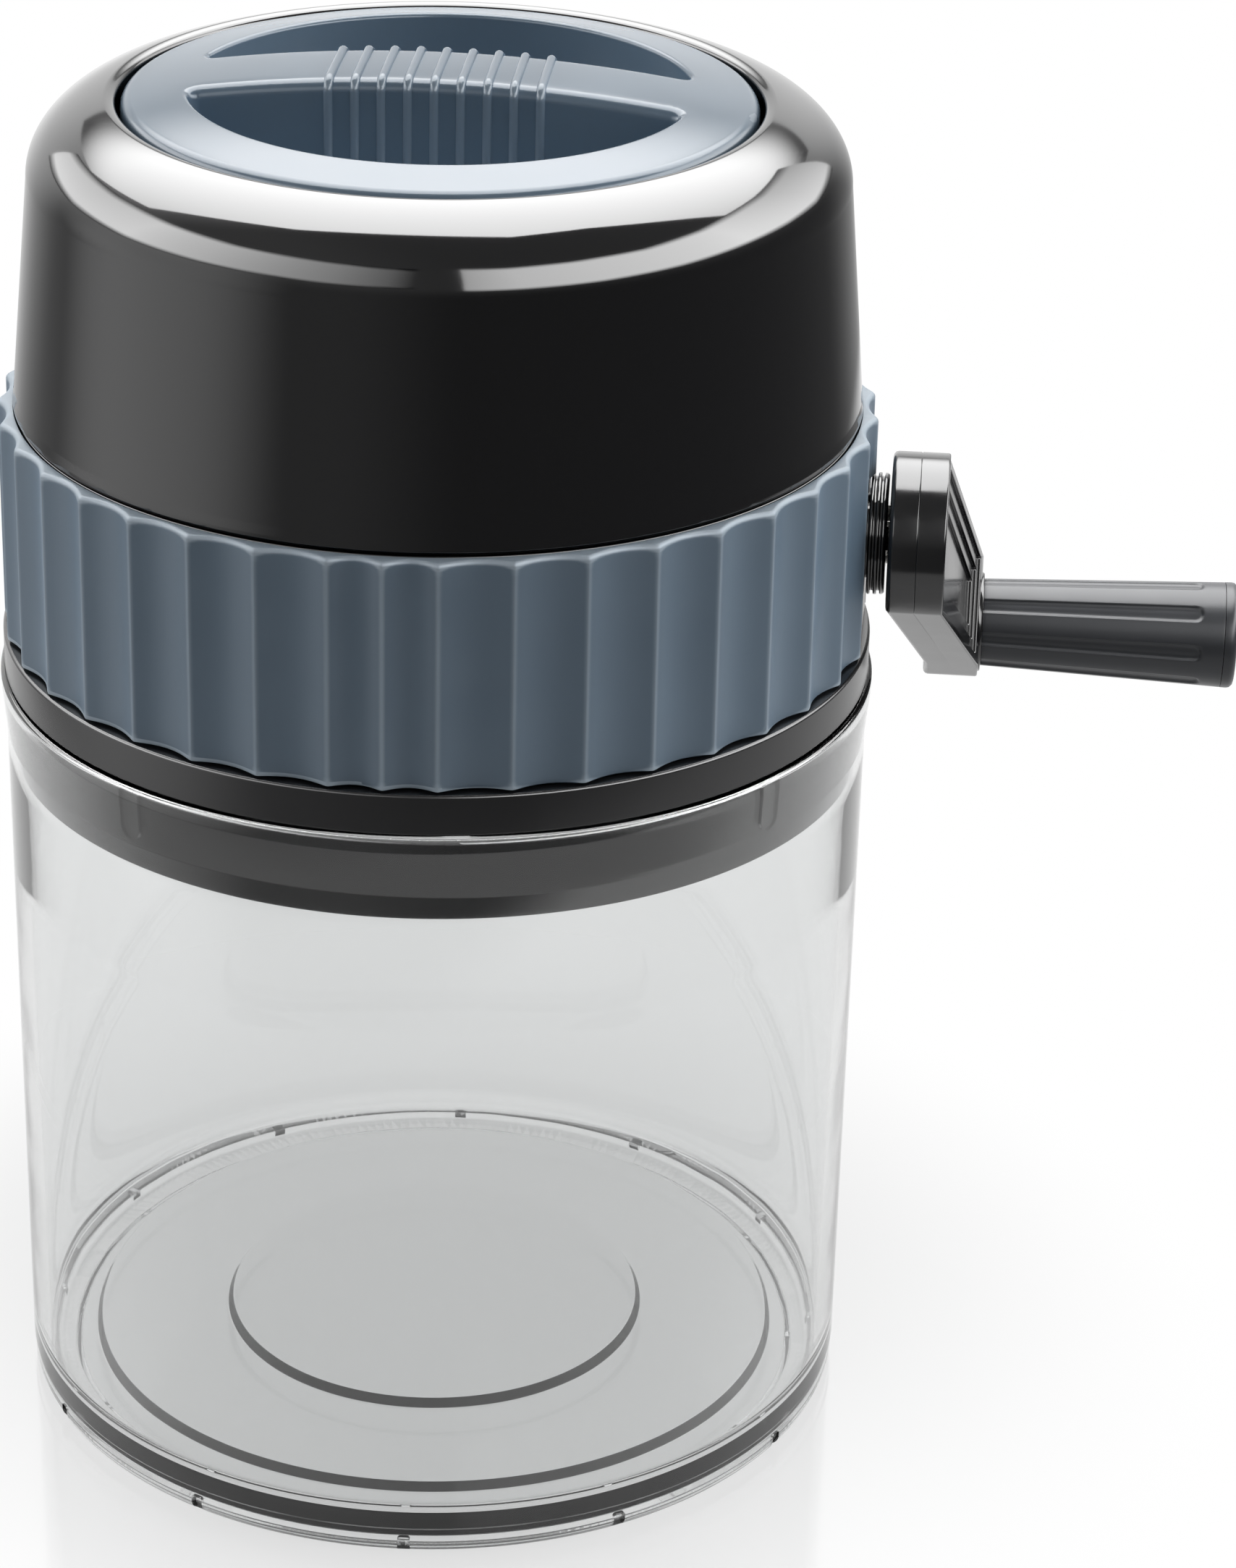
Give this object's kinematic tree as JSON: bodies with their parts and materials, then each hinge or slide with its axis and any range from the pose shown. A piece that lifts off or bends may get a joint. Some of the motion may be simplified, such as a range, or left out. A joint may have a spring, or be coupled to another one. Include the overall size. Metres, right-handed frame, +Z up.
{
  "type": "ice crusher",
  "caption": "Hand cranked ice crusher: clear round jar, push-on black crusher head with a fluted grip ring, side crank with a turning grip, and a lift-off filling lid.",
  "frame": {"origin": "centre of the jar's underside, on the jar axis, at the level the jar stands on", "axes": "+Z up along the jar axis, +X towards the crank along its shaft, -Y towards the front"},
  "size_m": [0.1682, 0.1182, 0.1906],
  "materials": {
    "jar": "clear injection-moulded styrene plastic, gloss",
    "black_gloss": "polished injection-moulded ABS",
    "black_satin": "satin injection-moulded ABS",
    "grey_gloss": "polished injection-moulded ABS",
    "soft_grey": "soft-touch moulded thermoplastic elastomer, matt",
    "smoke_gloss": "polished injection-moulded ABS",
    "inner_black": "moulded polypropylene",
    "bearing": "natural acetal",
    "steel": "stamped stainless steel"
  },
  "bodies": {
    "jar": {"jar": "jar"},
    "head": {"lower_housing": "black_satin", "dome": "black_gloss", "grip_ring": "soft_grey", "hopper": "inner_black", "crusher_body": "inner_black", "coarse_comb": "steel", "fine_comb": "steel", "deck_screw_1": "steel", "deck_screw_2": "steel", "deck_screw_3": "steel", "comb_screw_1": "steel", "comb_screw_2": "steel", "comb_screw_3": "steel", "comb_screw_4": "steel", "crank_side_bush": "bearing", "far_side_bush": "bearing", "crank_collar": "black_gloss"},
    "crank": {"drive_shaft": "steel", "rotor_blade_1": "steel", "rotor_blade_2": "steel", "rotor_blade_3": "steel", "rotor_blade_4": "steel", "rotor_blade_5": "steel", "rotor_spacer_1": "bearing", "rotor_spacer_2": "bearing", "rotor_spacer_3": "bearing", "rotor_spacer_4": "bearing", "rotor_spacer_5": "bearing", "rotor_spacer_6": "bearing", "shaft_clip": "steel", "crank_arm": "black_gloss", "grip_axle": "steel"},
    "grip": {"crank_grip": "smoke_gloss", "grip_cap": "smoke_gloss"},
    "lid": {"lid_top": "grey_gloss", "lid_underside": "grey_gloss"}
  },
  "joints": [
    {"name": "head_lift", "type": "slide", "parent": "jar", "child": "head", "axis": [0, 0, 1], "range_m": [0, 0.03]},
    {"name": "crank_turn", "type": "hinge", "parent": "head", "child": "crank", "pos_m": [0, 0, 0.1284], "axis": [1, 0, 0], "continuous": true},
    {"name": "grip_turn", "type": "hinge", "parent": "crank", "child": "grip", "pos_m": [0.0915, 0.02617, 0.10516], "axis": [1, 0, 0], "continuous": true},
    {"name": "lid_lift", "type": "slide", "parent": "head", "child": "lid", "axis": [0, 0, 1], "range_m": [0, 0.03]}
  ]
}
